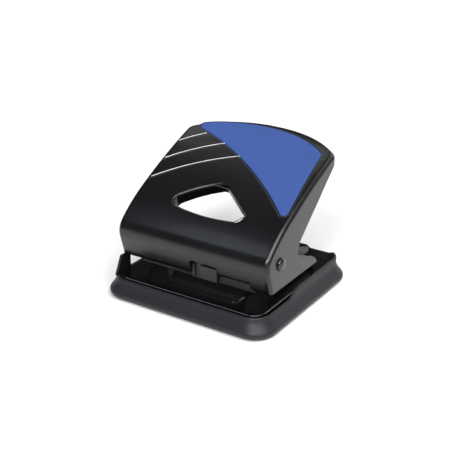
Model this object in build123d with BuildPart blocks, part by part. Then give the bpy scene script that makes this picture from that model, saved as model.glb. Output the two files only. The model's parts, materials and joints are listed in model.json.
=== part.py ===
"""Two-hole desk punch: chip tray, hinged chassis, sprung handle, punches, latch and paper guide.

Units are millimetres. The origin is the centre of the tray's underside, +X runs to the right
along the width, +Y to the rear and +Z up. Paper goes in from the front, at -Y.
"""
from build123d import *
import os
from math import cos, radians, sin

os.makedirs("parts", exist_ok=True)

# ---- driving dimensions ---------------------------------------------------------------------
TRAY_WIDTH = 134.0          # widest, along X
TRAY_DEPTH = 124.0          # widest, along Y
TRAY_CORNER = 16.0          # plan corner radius at the widest level
TRAY_FRONT_TOP = 15.0       # rim height at the front
TRAY_SIDE_TOP = 20.0        # rim height of the raised sides
TRAY_REAR_TOP = 17.6        # rim height at the rear
HINGE_COVER_TOP = 19.6      # raised part of the rear rim, over the tray hinge
HINGE_COVER_HALF = 33.0
TRAY_FLOOR = 2.0
TRAY_WALL = 2.0
TRAY_LEDGE = 4.0            # width of the ledge that the chassis stands on
FOOT_HEIGHT = 1.2
TRAY_BOTTOM = FOOT_HEIGHT / 2   # underside of the tray; the feet stand out below it
FOOT_R = 6.0

PLATE_TOP = 16.0
PLATE_T = 1.2
PLATE_RIM = 4.0             # depth of the plate's turned-down edge
PLATE_GAP = 1.2             # all round, between plate and tray wall
PLATE_REAR_GAP = 5.2        # plate's rear edge to the tray's rear wall, for the hinge
PAD_RISE = 0.8              # embossed channel over the guide bar
PAD_LEFT, PAD_RIGHT = -20.6, 35.8

PIN_SPACING = 80.0
PIN_R = 2.95
RUNNING = 0.05              # radial clearance of a running fit
MARGIN = 12.0               # hole centre to paper edge
PIN_Y = 16.0
THROAT = 4.5                # paper slot height

HANDLE_HALF = 61.0          # flange outer planes
SHEET = 2.0                 # handle wall
BEND_R = 3.5                # outside radius between face and flanges
PIVOT_Y, PIVOT_Z = -31.6, 45.6
PIVOT_R = 3.0

# front face line of the handle, from its lower lip up: a flat strip and four tangent arcs
LIP_Y, LIP_Z = -44.3, 30.9
STRIP_LENGTH = 11.6
STRIP_ANGLE = 106.0
KNEE_R, KNEE_END = 13.0, 44.0
LOWER_R, LOWER_END = 106.0, 30.0
UPPER_R, UPPER_END = 420.0, 20.0
CREST_R, CREST_END = 66.0, 2.0
TOP_BOW_R = 102.0           # plan radius of the handle's top edge
TOP_Y = 62.0                # Y of the top edge on the centre line
TOP_CORNER = 7.0

INLAY_DEPTH = 1.0
INLAY_PROUD = 0.3
INLAY_GAP = 0.35
INLAY_CORNER = 3.5
RIM_DEPTH = 9.0             # depth of the finger hole's turned-in rim
RIM_WALL = 1.3
HOLE_CORNER = 5.0
LIP_ROUND = 1.9             # rounding of the finger hole's outer edge
GROOVE_WIDTH = 1.5
GROOVE_DEPTH = 0.7
# each groove, seen from above: where it leaves the left edge, its middle and its inner end
GROOVES = (((-62.0, 18.0), (-52.0, 27.3), (-41.5, 35.0)),
           ((-62.0, 0.0), (-43.0, 15.8), (-20.8, 28.8)),
           ((-62.0, -17.5), (-34.0, 3.8), (-2.6, 19.8)))
NOTCH_LEFT, NOTCH_MID, NOTCH_RIGHT = -1.5, 21.1, 45.6
NOTCH_DEEP_Z = 38.8
NOTCH_SHALLOW_Z = 33.9
HOLE_Y, HOLE_Z, HOLE_TILT = -20.0, 72.46, 29.5

# the flanges' own outline: rear edge, neck and foot
FLANGE_LIP_Z = 99.5
FLANGE_TOP_Y, FLANGE_TOP_Z = 43.0, 95.0
FOOT_NECK_Y, FOOT_NECK_Z = -6.8, 51.8
FOOT_REAR_Y, FOOT_Z = 18.9, 27.6

FRAME_T = 1.6               # sheet of the two C-frames
FRAME_HALF = 10.0           # half the width of one C-frame
FRAME_REAR = 37.0
LOBE_R = PIVOT_R + 3.5

BAR_T = 3.0                 # press bar thickness
BAR_Z = 33.0                # underside of the press bar at rest
BAR_HALF_Y = 4.0
YOKE_X = 52.0               # inner faces of the yoke arms
YOKE_T = 1.6
PUSH_GAP = 0.45             # press bar to punch head at rest; the bar tilts as it presses
HEAD_T = 1.5
HEAD_R = 6.5
COUNTERBORE_R = 6.9

DIE_R = 7.0
DIE_FLANGE_R = 8.5
DIE_BOTTOM = 11.0

LATCH_LEFT, LATCH_RIGHT = -1.0, 18.6
LATCH_FRONT = LIP_Y + SHEET - 0.4   # clear of the strip's inner face as it slides
LATCH_TRAVEL = 20.0         # to the right, along the shallow notch
LATCH_HOOK_LEFT = LATCH_LEFT + 2
TRACK_FRONT = LATCH_FRONT + 3.1
TRACK_LOW, TRACK_HIGH = 24.0, 29.6
TRACK_T = 1.6
TRACK_BACK = TRACK_FRONT + TRACK_T
TRACK_ARM = 16.0            # length of the track's two side arms

GUIDE_FRONT, GUIDE_BACK = -45.0, -36.6
GUIDE_T = 1.4
GUIDE_CLEAR = 0.4
GUIDE_END = 48.0            # right-hand end of the guide bar at rest
STOP_T = 1.8
STOP_FRONT, STOP_BACK = -53.4, -36.6
STOP_TOP = FOOT_Z - 0.4      # clear of the flange foot above it

HINGE_INSET, HINGE_Z = 2.8, 16.6    # hinge axis in from the tray's rear wall, and its height
KNUCKLE_R = 2.4
HINGE_PIN_R = 1.2

# ---- worked out from them -------------------------------------------------------------------
PIN_X = PIN_SPACING / 2
STOP_Y = PIN_Y + MARGIN
THROAT_TOP = PLATE_TOP + THROAT
SEAT_Z = THROAT_TOP + 1.8    # floor of the spring's counterbore
GUIDE_TOP = THROAT_TOP + 3.8
ARM_TOP = GUIDE_TOP + 1.5    # frame height under the press bar
BORE_R = PIN_R + RUNNING
HEAD_TOP = BAR_Z - PUSH_GAP
TIP_Z = THROAT_TOP + 0.1
BAR_Y = PIN_Y
TRAY_TOP_INSET = 4.8        # how far the upper wall stands in from the widest outline
WALL_X = TRAY_WIDTH / 2 - TRAY_TOP_INSET - TRAY_WALL
WALL_Y = TRAY_DEPTH / 2 - TRAY_TOP_INSET - TRAY_WALL
PLATE_X = WALL_X - PLATE_GAP
STOP_OUT = -(PLATE_X + STOP_T + 0.2)
PLATE_REAR = WALL_Y - PLATE_REAR_GAP
HINGE_Y = WALL_Y - HINGE_INSET
PLATE_FRONT = -(WALL_Y - 0.4)
GUIDE_Z = PLATE_TOP - PLATE_T - GUIDE_CLEAR - GUIDE_T
FRAME_INNER = PIN_X - FRAME_HALF
FRAME_OUTER = PIN_X + FRAME_HALF
TRACK_REACH = FRAME_INNER - TRACK_T
SIDES = ((-1, "left"), (1, "right"))


def face_line(depth):
    """Draw the handle's front face line, moved in by depth, in the active line builder."""
    along = Vector(cos(radians(STRIP_ANGLE)), sin(radians(STRIP_ANGLE)))
    inward = Vector(sin(radians(STRIP_ANGLE)), -cos(radians(STRIP_ANGLE)))
    lip = Vector(LIP_Y, LIP_Z) + inward * depth
    strip = Line(lip, lip + along * STRIP_LENGTH)
    knee = JernArc(strip @ 1, strip % 1, KNEE_R - depth, KNEE_END - STRIP_ANGLE)
    lower = JernArc(knee @ 1, knee % 1, LOWER_R - depth, LOWER_END - KNEE_END)
    upper = JernArc(lower @ 1, lower % 1, UPPER_R - depth, UPPER_END - LOWER_END)
    crest = JernArc(upper @ 1, upper % 1, CREST_R - depth, CREST_END - UPPER_END)
    tail = Line(crest @ 1, crest @ 1 + (crest % 1) * 12)
    return strip @ 0, tail @ 1


def inlay_outline():
    """Draw the sail-shaped outline of the grip inlay, seen from above, in the active builder."""
    left, right, toe = (-57.0, 42.2), (52.6, 37.4), (57.6, -23.5)
    ThreePointArc(left, (0, 55.4), right)
    Line(right, toe)
    ThreePointArc(toe, (5, 14.8), left)


# ---- chip tray (root) -----------------------------------------------------------------------
# each level: height above the floor, and how far the outline stands in from the widest one
TRAY_LEVELS = ((0.0, 3.2), (1.2, 1.3), (2.8, 0.3), (4.6, 0.0), (6.6, 1.0), (8.6, 2.6),
               (11.0, 4.0), (14.0, TRAY_TOP_INSET), (TRAY_SIDE_TOP, TRAY_TOP_INSET))
with BuildPart() as base_tray:
    for level, inset in TRAY_LEVELS:
        with BuildSketch(Plane.XY.offset(TRAY_BOTTOM + level * (1 - TRAY_BOTTOM / TRAY_SIDE_TOP))):
            RectangleRounded(TRAY_WIDTH - 2 * inset, TRAY_DEPTH - 2 * inset, TRAY_CORNER - inset * 0.6)
    loft(ruled=True)
    # chip space, then the wider space that the chassis sits in
    with BuildSketch(Plane.XY.offset(TRAY_FLOOR + 1)):
        RectangleRounded(2 * (WALL_X - TRAY_LEDGE), 2 * (WALL_Y - TRAY_LEDGE), 8)
    extrude(amount=TRAY_SIDE_TOP, mode=Mode.SUBTRACT)
    with BuildSketch(Plane.XY.offset(PLATE_TOP - PLATE_RIM - 0.3)):
        RectangleRounded(2 * WALL_X, 2 * WALL_Y, 11.5)
    extrude(amount=TRAY_SIDE_TOP, mode=Mode.SUBTRACT)
    # the rim drops from the raised sides to the front in a soft step
    with BuildSketch(Plane.YZ):
        with BuildLine():
            step = Spline((-8, TRAY_SIDE_TOP), (-21, TRAY_FRONT_TOP), tangents=((-1, 0), (-1, 0)))
            Polyline(step @ 1, (-TRAY_DEPTH, TRAY_FRONT_TOP), (-TRAY_DEPTH, 30), (-8, 30), step @ 0)
        make_face()
    extrude(amount=TRAY_WIDTH, both=True, mode=Mode.SUBTRACT)
    # rear rim, lower each side of the hinge cover
    for side, name in SIDES:
        with BuildSketch(Plane.XZ.offset(-WALL_Y + 6)):
            with BuildLine():
                near, far = side * HINGE_COVER_HALF, side * (WALL_X - 6)
                Polyline((near, HINGE_COVER_TOP), (near + side * 3, TRAY_REAR_TOP), (far, TRAY_REAR_TOP),
                         (far + side * 4, TRAY_SIDE_TOP), (far + side * 4, 30), (near, 30), close=True)
            make_face()
        extrude(amount=-20, mode=Mode.SUBTRACT)
    with BuildSketch(Plane.XZ.offset(-WALL_Y + 6)):
        with Locations((0, HINGE_COVER_TOP + 5)):
            Rectangle(2 * HINGE_COVER_HALF + 0.2, 10)
    extrude(amount=-20, mode=Mode.SUBTRACT)
    # gap in the left wall for the paper guide
    with BuildSketch(Plane.XY.offset(GUIDE_Z - GUIDE_CLEAR)):
        with Locations((-WALL_X - 1, (STOP_FRONT + STOP_BACK) / 2)):
            Rectangle(12, STOP_BACK - STOP_FRONT + 2)
    extrude(amount=20, mode=Mode.SUBTRACT)
    # hinge lugs, standing in from the rear wall
    for centre, length in ((0, 30.0), (-31, 5.0), (31, 5.0)):
        with BuildSketch(Plane.YZ.offset(centre - length / 2)):
            with Locations((HINGE_Y, HINGE_Z)):
                Circle(KNUCKLE_R)
            with BuildLine():
                Polyline((HINGE_Y, HINGE_Z - KNUCKLE_R), (WALL_Y + 1, HINGE_Z - KNUCKLE_R - 2.5),
                         (WALL_Y + 1, HINGE_Z), (HINGE_Y, HINGE_Z), close=True)
            make_face()
        extrude(amount=length)
    with BuildSketch(Plane.YZ.offset(-HINGE_COVER_HALF + 0.4)):
        with Locations((HINGE_Y, HINGE_Z)):
            Circle(HINGE_PIN_R + RUNNING)
    extrude(amount=2 * HINGE_COVER_HALF - 0.8, mode=Mode.SUBTRACT)
    # pockets for the feet
    with BuildSketch(Plane.XY):
        with GridLocations(TRAY_WIDTH - 34, TRAY_DEPTH - 34, 2, 2):
            Circle(FOOT_R)
    extrude(amount=FOOT_HEIGHT, mode=Mode.SUBTRACT)
base_tray.part.label = "base_tray"
export_step(base_tray.part, "parts/base_tray.step")

with BuildPart() as rubber_feet:
    with BuildSketch(Plane.XY):
        with GridLocations(TRAY_WIDTH - 34, TRAY_DEPTH - 34, 2, 2):
            Circle(FOOT_R)
    extrude(amount=FOOT_HEIGHT)
rubber_feet.part.label = "rubber_feet"
export_step(rubber_feet.part, "parts/rubber_feet.step")

with BuildPart() as hinge_pin:
    with BuildSketch(Plane.YZ.offset(-HINGE_COVER_HALF + 0.8)):
        with Locations((HINGE_Y, HINGE_Z)):
            Circle(HINGE_PIN_R)
    extrude(amount=2 * HINGE_COVER_HALF - 1.6)
hinge_pin.part.label = "hinge_pin"
export_step(hinge_pin.part, "parts/hinge_pin.step")

# ---- chassis --------------------------------------------------------------------------------
PLATE_MID = (PLATE_FRONT + PLATE_REAR) / 2
PLATE_LENGTH = PLATE_REAR - PLATE_FRONT
SCREW_Y = STOP_Y + 5.5
with BuildPart() as base_plate:
    with BuildSketch(Plane.XY.offset(PLATE_TOP - PLATE_RIM)):
        with Locations((0, PLATE_MID)):
            RectangleRounded(2 * PLATE_X, PLATE_LENGTH, 10)
    extrude(amount=PLATE_RIM)
    fillet(base_plate.edges().group_by(Axis.Z)[-1], radius=1.2)
    with BuildSketch(Plane.XY.offset(PLATE_TOP - PLATE_RIM)):
        with Locations((0, PLATE_MID)):
            RectangleRounded(2 * (PLATE_X - 1.5), PLATE_LENGTH - 3, 8.5)
    extrude(amount=PLATE_RIM - PLATE_T, mode=Mode.SUBTRACT)
    # raised channel over the guide bar
    with BuildSketch(Plane.XY.offset(PLATE_TOP - 0.1)):
        with Locations(((PAD_LEFT + PAD_RIGHT) / 2, (GUIDE_FRONT + GUIDE_BACK) / 2)):
            RectangleRounded(PAD_RIGHT - PAD_LEFT, GUIDE_BACK - GUIDE_FRONT + 3, 4)
    extrude(amount=PAD_RISE + 0.1)
    fillet(base_plate.faces().sort_by(Axis.Z)[-1].edges(), radius=0.6)
    # seats of the two dies, and the screw holes of the frames
    with BuildSketch(Plane.XY.offset(PLATE_TOP - PLATE_T)):
        with Locations((-PIN_X, PIN_Y), (PIN_X, PIN_Y)):
            Circle(DIE_R)
        with GridLocations(PIN_SPACING, 0.001, 2, 1):
            with Locations((0, SCREW_Y)):
                Circle(1.6)
    extrude(amount=PLATE_T, mode=Mode.SUBTRACT)
    # gap in the turned-down edge for the guide bar
    with BuildSketch(Plane.XY.offset(PLATE_TOP - PLATE_RIM)):
        with Locations((-PLATE_X, (GUIDE_FRONT + GUIDE_BACK) / 2)):
            Rectangle(4, GUIDE_BACK - GUIDE_FRONT + 2 * GUIDE_CLEAR)
    extrude(amount=PLATE_RIM - PLATE_T, mode=Mode.SUBTRACT)
    # knuckles of the tray hinge
    for centre in (-21.8, 21.8):
        with BuildSketch(Plane.YZ.offset(centre - 6.3)):
            with Locations((HINGE_Y, HINGE_Z)):
                Circle(KNUCKLE_R)
            with BuildLine():
                Polyline((PLATE_REAR - 4, PLATE_TOP), (HINGE_Y, HINGE_Z + KNUCKLE_R),
                         (HINGE_Y, HINGE_Z - 1.6), (PLATE_REAR - 4, PLATE_TOP - PLATE_T), close=True)
            make_face()
            with Locations((HINGE_Y, HINGE_Z)):
                Circle(HINGE_PIN_R + RUNNING, mode=Mode.SUBTRACT)
        extrude(amount=12.6)
base_plate.part.label = "base_plate"
export_step(base_plate.part, "parts/base_plate.step")

for side, name in SIDES:
    with BuildPart() as die:
        with BuildSketch(Plane.XY.offset(DIE_BOTTOM)):
            with Locations((side * PIN_X, PIN_Y)):
                Circle(DIE_R)
        extrude(amount=PLATE_TOP - DIE_BOTTOM)
        with BuildSketch(Plane.XY.offset(DIE_BOTTOM)):
            with Locations((side * PIN_X, PIN_Y)):
                Circle(DIE_FLANGE_R)
        extrude(amount=PLATE_TOP - PLATE_T - DIE_BOTTOM)
        with BuildSketch(Plane.XY.offset(DIE_BOTTOM)):
            with Locations((side * PIN_X, PIN_Y)):
                Circle(BORE_R)
        extrude(amount=PLATE_TOP - DIE_BOTTOM, mode=Mode.SUBTRACT)
    die.part.label = f"die_{name}"
    export_step(die.part, f"parts/die_{name}.step")

CHEEK = ((STOP_Y + 1, PLATE_TOP), (FRAME_REAR, PLATE_TOP), (FRAME_REAR - 3, ARM_TOP - 2.8),
         (STOP_Y - 2, ARM_TOP), (PIN_Y - 9, ARM_TOP), (-12, 31.0), (-25.6, 48.0), (-37.0, 42.0),
         (-31.0, 33.0), (-25.0, THROAT_TOP), (STOP_Y + 1, THROAT_TOP))
for side, name in SIDES:
    with BuildPart() as frame:
        for cheek in (side * PIN_X - FRAME_HALF, side * PIN_X + FRAME_HALF - FRAME_T):
            with BuildSketch(Plane.YZ.offset(cheek)):
                with BuildLine():
                    Polyline(*CHEEK, close=True)
                make_face()
                with Locations((PIVOT_Y, PIVOT_Z)):
                    Circle(LOBE_R)
                    Circle(PIVOT_R + RUNNING, mode=Mode.SUBTRACT)
            extrude(amount=FRAME_T)
        # foot between the cheeks, and the rear web
        with BuildSketch(Plane.XY.offset(PLATE_TOP)):
            with Locations((side * PIN_X, (STOP_Y + 1 + FRAME_REAR) / 2)):
                Rectangle(2 * FRAME_HALF, FRAME_REAR - STOP_Y - 1)
            with Locations((side * PIN_X, SCREW_Y)):
                Circle(1.6, mode=Mode.SUBTRACT)
        extrude(amount=FRAME_T)
    frame.part.label = f"frame_{name}"
    export_step(frame.part, f"parts/frame_{name}.step")

for side, name in SIDES:
    with BuildPart() as guide_block:
        with BuildSketch(Plane.XY.offset(THROAT_TOP)):
            with Locations((side * PIN_X, PIN_Y)):
                Rectangle(2 * (FRAME_HALF - FRAME_T), 16.4)
                Circle(BORE_R, mode=Mode.SUBTRACT)
        extrude(amount=GUIDE_TOP - THROAT_TOP)
        with BuildSketch(Plane.XY.offset(SEAT_Z)):
            with Locations((side * PIN_X, PIN_Y)):
                Circle(COUNTERBORE_R)
        extrude(amount=GUIDE_TOP - SEAT_Z, mode=Mode.SUBTRACT)
    guide_block.part.label = f"guide_block_{name}"
    export_step(guide_block.part, f"parts/guide_block_{name}.step")

with BuildPart() as paper_stop:
    with BuildSketch(Plane.XY.offset(PLATE_TOP)):
        with Locations((0, STOP_Y + 0.5)):
            Rectangle(2 * (FRAME_OUTER + 4), 1.0)
    extrude(amount=THROAT - 0.2)
    with BuildSketch(Plane.XY.offset(PLATE_TOP)):
        with Locations((0, STOP_Y + 5)):
            Rectangle(2 * FRAME_INNER - 2, 8)
    extrude(amount=1.0)
paper_stop.part.label = "paper_stop"
export_step(paper_stop.part, "parts/paper_stop.step")

with BuildPart() as frame_screws:
    for side, name in SIDES:
        with BuildSketch(Plane.XY.offset(PLATE_TOP - PLATE_T)):
            with Locations((side * PIN_X, SCREW_Y)):
                Circle(1.6)
        extrude(amount=PLATE_T + FRAME_T)
        with BuildSketch(Plane.XY.offset(PLATE_TOP + FRAME_T)):
            with Locations((side * PIN_X, SCREW_Y)):
                Circle(3.0)
        extrude(amount=1.8)
frame_screws.part.label = "frame_screws"
export_step(frame_screws.part, "parts/frame_screws.step")

# track of the latch, riveted between the two frames
with BuildPart() as latch_track:
    with BuildSketch(Plane.XY.offset(TRACK_LOW)):
        with Locations((0, TRACK_FRONT + TRACK_T / 2)):
            Rectangle(2 * FRAME_OUTER - 8, TRACK_T)
        with Locations((0, TRACK_FRONT + TRACK_ARM / 2)), GridLocations(2 * TRACK_REACH + TRACK_T, 1, 2, 1):
            Rectangle(TRACK_T, TRACK_ARM)
    extrude(amount=TRACK_HIGH - TRACK_LOW)
latch_track.part.label = "latch_track"
export_step(latch_track.part, "parts/latch_track.step")

# ---- handle ---------------------------------------------------------------------------------
with BuildPart() as inlay_pocket:
    with BuildSketch(Plane.YZ):
        with BuildLine():
            outer_lip, outer_tail = face_line(-2)
            inner_lip, inner_tail = face_line(INLAY_DEPTH)
            Line(outer_lip, inner_lip)
            Line(outer_tail, inner_tail)
        make_face()
    extrude(amount=HANDLE_HALF, both=True)
    with BuildSketch(Plane.XY) as plan:
        with BuildLine():
            inlay_outline()
        make_face()
        fillet(plan.vertices(), radius=INLAY_CORNER)
    extrude(amount=130, mode=Mode.INTERSECT)

with BuildPart() as grip_inlay:
    with BuildSketch(Plane.YZ):
        with BuildLine():
            outer_lip, outer_tail = face_line(-INLAY_PROUD)
            inner_lip, inner_tail = face_line(INLAY_DEPTH)
            Line(outer_lip, inner_lip)
            Line(outer_tail, inner_tail)
        make_face()
    extrude(amount=HANDLE_HALF, both=True)
    with BuildSketch(Plane.XY) as plan:
        with BuildLine():
            inlay_outline()
        make_face()
        fillet(plan.vertices(), radius=INLAY_CORNER)
        offset(amount=-INLAY_GAP)
    extrude(amount=130, mode=Mode.INTERSECT)
grip_inlay.part.label = "grip_inlay"
export_step(grip_inlay.part, "parts/grip_inlay.step")


def shell_body(depth):
    """Build the handle's closed form, moved in by depth; depth 0 has the flanges' own outline."""
    with BuildPart() as form:
        with BuildSketch(Plane.YZ) as side_view:
            with BuildLine():
                lip, tail = face_line(depth)
                if depth:
                    Polyline(tail, (tail.X, -20), (lip.X, -20), lip)
                else:
                    Polyline(tail, (tail.X, FLANGE_LIP_Z), (FLANGE_TOP_Y, FLANGE_TOP_Z),
                             (FOOT_NECK_Y, FOOT_NECK_Z), (FOOT_NECK_Y - 2.2, FOOT_NECK_Z - 7.9),
                             (FOOT_REAR_Y - 1, FOOT_Z + 3.9), (FOOT_REAR_Y, FOOT_Z),
                             (LIP_Y + 1.9, FOOT_Z), lip)
            make_face()
        extrude(amount=HANDLE_HALF - depth, both=True)
        with BuildSketch(Plane.XY) as plan:
            half = HANDLE_HALF - depth
            bow = TOP_BOW_R - depth
            edge_y = TOP_Y - TOP_BOW_R + (bow ** 2 - half ** 2) ** 0.5
            with BuildLine():
                top = ThreePointArc((-half, edge_y), (0, TOP_Y - depth), (half, edge_y))
                Polyline(top @ 1, (half, -80), (-half, -80), top @ 0)
            make_face()
            fillet(plan.vertices().group_by(Axis.Y)[-1], radius=TOP_CORNER - depth)
        extrude(amount=130, mode=Mode.INTERSECT)
        # round the bend between the face and the flanges
        skin = [f for f in form.faces() if abs(f.normal_at().X) < 0.01 and f.center().Z > LIP_Z
                and (f.normal_at().Z > 0.05 or f.normal_at().Y < -0.9)]
        walls = [f for f in form.faces() if abs(f.normal_at().Z) < 0.01]
        skin_edges = ShapeList([e for f in skin for e in f.edges()])
        wall_edges = ShapeList([e for f in walls for e in f.edges()])
        bend = [e for e in skin_edges if any(e.is_same(other) for other in wall_edges)]
        fillet(bend, radius=BEND_R - depth)
    return form.part


outer_form = shell_body(0)
inner_form = shell_body(SHEET)
hole_plane = Plane(origin=(0, HOLE_Y, HOLE_Z), x_dir=(1, 0, 0),
                   z_dir=(0, -sin(radians(HOLE_TILT)), cos(radians(HOLE_TILT))))


def hole_outline(grow):
    """Draw the finger hole, a triangle with bowed sides, moved out by grow, in the active builder."""
    corners = [Vector(-33, -7.8), Vector(35.2, -9.4), Vector(0.5, 17.4)]
    bows = [Vector(2, -12.4), Vector(19, 3.0), Vector(-15, 8.8)]
    chords = [(corners[(i + 1) % 3] - corners[i]).normalized() for i in range(3)]
    normals = [Vector(chord.Y, -chord.X) for chord in chords]
    moved = [corners[i] + (normals[i - 1] + normals[i]) * (grow / (1 + normals[i - 1].dot(normals[i])))
             for i in range(3)]
    for i in range(3):
        ThreePointArc(moved[i], bows[i] + normals[i] * grow, moved[(i + 1) % 3])


with BuildPart() as face_grooves:
    with BuildSketch(Plane.YZ):
        with BuildLine():
            outer_lip, outer_tail = face_line(-2)
            inner_lip, inner_tail = face_line(GROOVE_DEPTH)
            Line(outer_lip, inner_lip)
            Line(outer_tail, inner_tail)
        make_face()
    extrude(amount=HANDLE_HALF + 3, both=True)
    with BuildSketch(Plane.XY):
        for start, middle, end in GROOVES:
            with BuildLine():
                ThreePointArc(start, middle, end)
            trace(line_width=GROOVE_WIDTH)
    extrude(amount=130, mode=Mode.INTERSECT)

with BuildPart() as handle_shell:
    add(outer_form)
    add(inner_form, mode=Mode.SUBTRACT)
    with BuildSketch(Plane.YZ):
        with Locations((PIVOT_Y, PIVOT_Z)):
            Circle(PIVOT_R)
    extrude(amount=HANDLE_HALF + 1, both=True, mode=Mode.SUBTRACT)
    # turned-in rim of the finger hole, then the hole itself
    with BuildSketch(hole_plane.offset(-RIM_DEPTH)) as rim:
        with BuildLine():
            hole_outline(RIM_WALL)
        make_face()
        fillet(rim.vertices(), radius=HOLE_CORNER + RIM_WALL)
    extrude(amount=RIM_DEPTH - SHEET)
    with BuildSketch(hole_plane.offset(-RIM_DEPTH - 1)) as bore:
        with BuildLine():
            hole_outline(0)
        make_face()
        fillet(bore.vertices(), radius=HOLE_CORNER)
    extrude(amount=RIM_DEPTH + 6, mode=Mode.SUBTRACT)
    lip_edges = [edge for edge in handle_shell.edges() if abs(edge.center().X) < 30 and edge.center().Z > 60
                 and -34 < edge.center().Y < -5
                 and (edge.center() - hole_plane.origin).dot(hole_plane.z_dir) > -1.2]
    fillet(lip_edges, radius=LIP_ROUND)
    # notches in the front strip: a deep one for the latch, a shallow one it slides along
    with BuildSketch(Plane.XZ.offset(-PIVOT_Y)) as notch:
        with Locations(((NOTCH_LEFT + NOTCH_MID) / 2, (NOTCH_DEEP_Z + 20) / 2)):
            Rectangle(NOTCH_MID - NOTCH_LEFT, NOTCH_DEEP_Z - 20)
        fillet(notch.vertices().group_by(Axis.Z)[-1], radius=2.5)
        with Locations(((NOTCH_MID + NOTCH_RIGHT) / 2, (NOTCH_SHALLOW_Z + 20) / 2)):
            Rectangle(NOTCH_RIGHT - NOTCH_MID + 0.2, NOTCH_SHALLOW_Z - 20)
    extrude(amount=40, mode=Mode.SUBTRACT)
    add(inlay_pocket.part, mode=Mode.SUBTRACT)
    add(face_grooves.part, mode=Mode.SUBTRACT)
handle_shell.part.label = "handle_shell"
export_step(handle_shell.part, "parts/handle_shell.step")

with BuildPart() as pivot_rod:
    with BuildSketch(Plane.YZ):
        with Locations((PIVOT_Y, PIVOT_Z)):
            Circle(PIVOT_R)
    extrude(amount=HANDLE_HALF, both=True)
pivot_rod.part.label = "pivot_rod"
export_step(pivot_rod.part, "parts/pivot_rod.step")

CAP_R, CAP_H = 4.6, 2.6
for side, name in SIDES:
    with BuildPart() as pivot_cap:
        with BuildSketch(Plane.YZ.offset(side * HANDLE_HALF)):
            with Locations((PIVOT_Y, PIVOT_Z)):
                Circle(CAP_R)
        extrude(amount=side * CAP_H)
        fillet(pivot_cap.faces().sort_by(Axis.X)[-1 if side > 0 else 0].edges(), radius=CAP_H - 0.6)
    pivot_cap.part.label = f"pivot_cap_{name}"
    export_step(pivot_cap.part, f"parts/pivot_cap_{name}.step")

# yoke: two arms on the pivot rod and the press bar between them, linked to the handle's feet
ARM = ((PIVOT_Y - 3, PIVOT_Z - 6.2), (BAR_Y - BAR_HALF_Y, BAR_Z), (BAR_Y + BAR_HALF_Y, BAR_Z),
       (BAR_Y + BAR_HALF_Y, BAR_Z + BAR_T + 0.6), (PIVOT_Y + 3, PIVOT_Z + 6.2))
LINK_Y, LINK_Z, LINK_R = 1.0, 35.4, 2.4
with BuildPart() as press_yoke:
    for side, name in SIDES:
        with BuildSketch(Plane.YZ.offset(YOKE_X if side > 0 else -YOKE_X - YOKE_T)):
            with BuildLine():
                Polyline(*ARM, close=True)
            make_face()
            with Locations((PIVOT_Y, PIVOT_Z)):
                Circle(PIVOT_R + 3.9)
                Circle(PIVOT_R, mode=Mode.SUBTRACT)
            with Locations((LINK_Y, LINK_Z)):
                Circle(LINK_R, mode=Mode.SUBTRACT)
        extrude(amount=YOKE_T)
    with BuildSketch(Plane.XY.offset(BAR_Z)):
        with Locations((0, BAR_Y)):
            Rectangle(2 * YOKE_X, 2 * BAR_HALF_Y)
    extrude(amount=BAR_T)
press_yoke.part.label = "press_yoke"
export_step(press_yoke.part, "parts/press_yoke.step")

for side, name in SIDES:
    inner_face = side * (HANDLE_HALF - SHEET)
    with BuildPart() as link_stud:
        with BuildSketch(Plane.YZ.offset(inner_face)):
            with Locations((LINK_Y, LINK_Z)):
                Circle(LINK_R)
        extrude(amount=-side * (HANDLE_HALF - SHEET - YOKE_X))
    link_stud.part.label = f"link_stud_{name}"
    export_step(link_stud.part, f"parts/link_stud_{name}.step")
    with BuildPart() as spacer:
        with BuildSketch(Plane.YZ.offset(inner_face)):
            with Locations((PIVOT_Y, PIVOT_Z)):
                Circle(PIVOT_R + 2)
                Circle(PIVOT_R, mode=Mode.SUBTRACT)
        extrude(amount=-side * (HANDLE_HALF - SHEET - YOKE_X - YOKE_T))
    spacer.part.label = f"spacer_{name}"
    export_step(spacer.part, f"parts/spacer_{name}.step")
    # washer between the C-frame and the yoke arm
    with BuildPart() as washer:
        with BuildSketch(Plane.YZ.offset(side * (YOKE_X - 0.2))):
            with Locations((PIVOT_Y, PIVOT_Z)):
                Circle(PIVOT_R + 3)
                Circle(PIVOT_R + RUNNING, mode=Mode.SUBTRACT)
        extrude(amount=-side * (YOKE_X - 0.2 - FRAME_OUTER))
    washer.part.label = f"washer_{name}"
    export_step(washer.part, f"parts/washer_{name}.step")

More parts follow.
